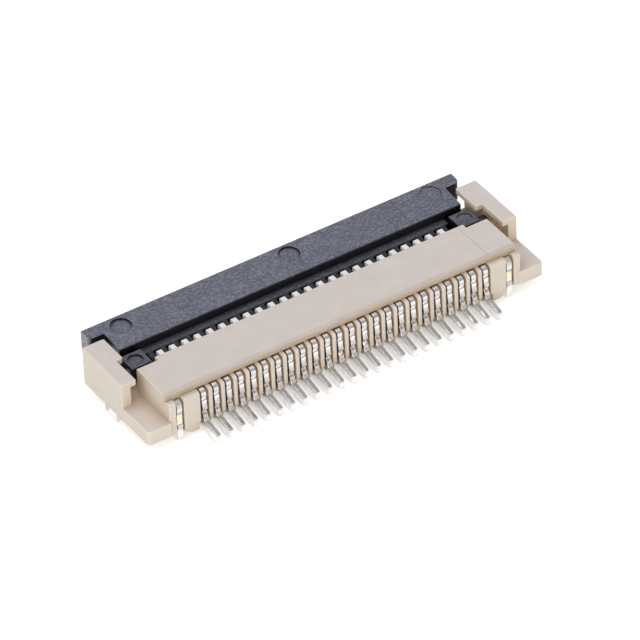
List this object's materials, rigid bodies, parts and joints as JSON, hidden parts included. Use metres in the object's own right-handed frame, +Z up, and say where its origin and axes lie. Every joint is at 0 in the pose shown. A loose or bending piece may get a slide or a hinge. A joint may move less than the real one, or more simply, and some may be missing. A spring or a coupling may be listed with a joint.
{
  "type": "fpc connector",
  "caption": "Low right-angle surface-mount connector for a flat flexible circuit, with a flip-up lock bar, forked spring contacts and solder hold-downs.",
  "frame": {"origin": "centre of the footprint on the circuit board: the bottom centre of the whole part's bounding box, lock closed", "axes": "+X along the row of contacts, +Y towards the solder tails, -Y towards the mouth that takes the flexible circuit, +Z up from the board"},
  "size_m": [0.0162, 0.0058, 0.002],
  "materials": {
    "housing_plastic": "satin glass-filled resin, warm pale beige",
    "lock_plastic": "satin glass-filled resin, blue-black",
    "contact_metal": "tin-bright plated copper alloy",
    "fitting_metal": "tin-plated sheet"
  },
  "bodies": {
    "connector": {"housing": "housing_plastic", "hold_down_left": "fitting_metal", "hold_down_right": "fitting_metal", "anchor_left": "fitting_metal", "anchor_right": "fitting_metal", "contact_01": "contact_metal", "contact_02": "contact_metal", "contact_03": "contact_metal", "contact_04": "contact_metal", "contact_05": "contact_metal", "contact_06": "contact_metal", "contact_07": "contact_metal", "contact_08": "contact_metal", "contact_09": "contact_metal", "contact_10": "contact_metal", "contact_11": "contact_metal", "contact_12": "contact_metal", "contact_13": "contact_metal", "contact_14": "contact_metal", "contact_15": "contact_metal", "contact_16": "contact_metal", "contact_17": "contact_metal", "contact_18": "contact_metal", "contact_19": "contact_metal", "contact_20": "contact_metal", "contact_21": "contact_metal", "contact_22": "contact_metal", "contact_23": "contact_metal", "contact_24": "contact_metal"},
    "lock": {"lock_lever": "lock_plastic"}
  },
  "joints": [
    {"name": "lock_flip", "type": "hinge", "parent": "connector", "child": "lock", "pos_m": [0, -0.00063, 0.00136], "axis": [-1, 0, 0], "range_deg": [0, 100]}
  ]
}
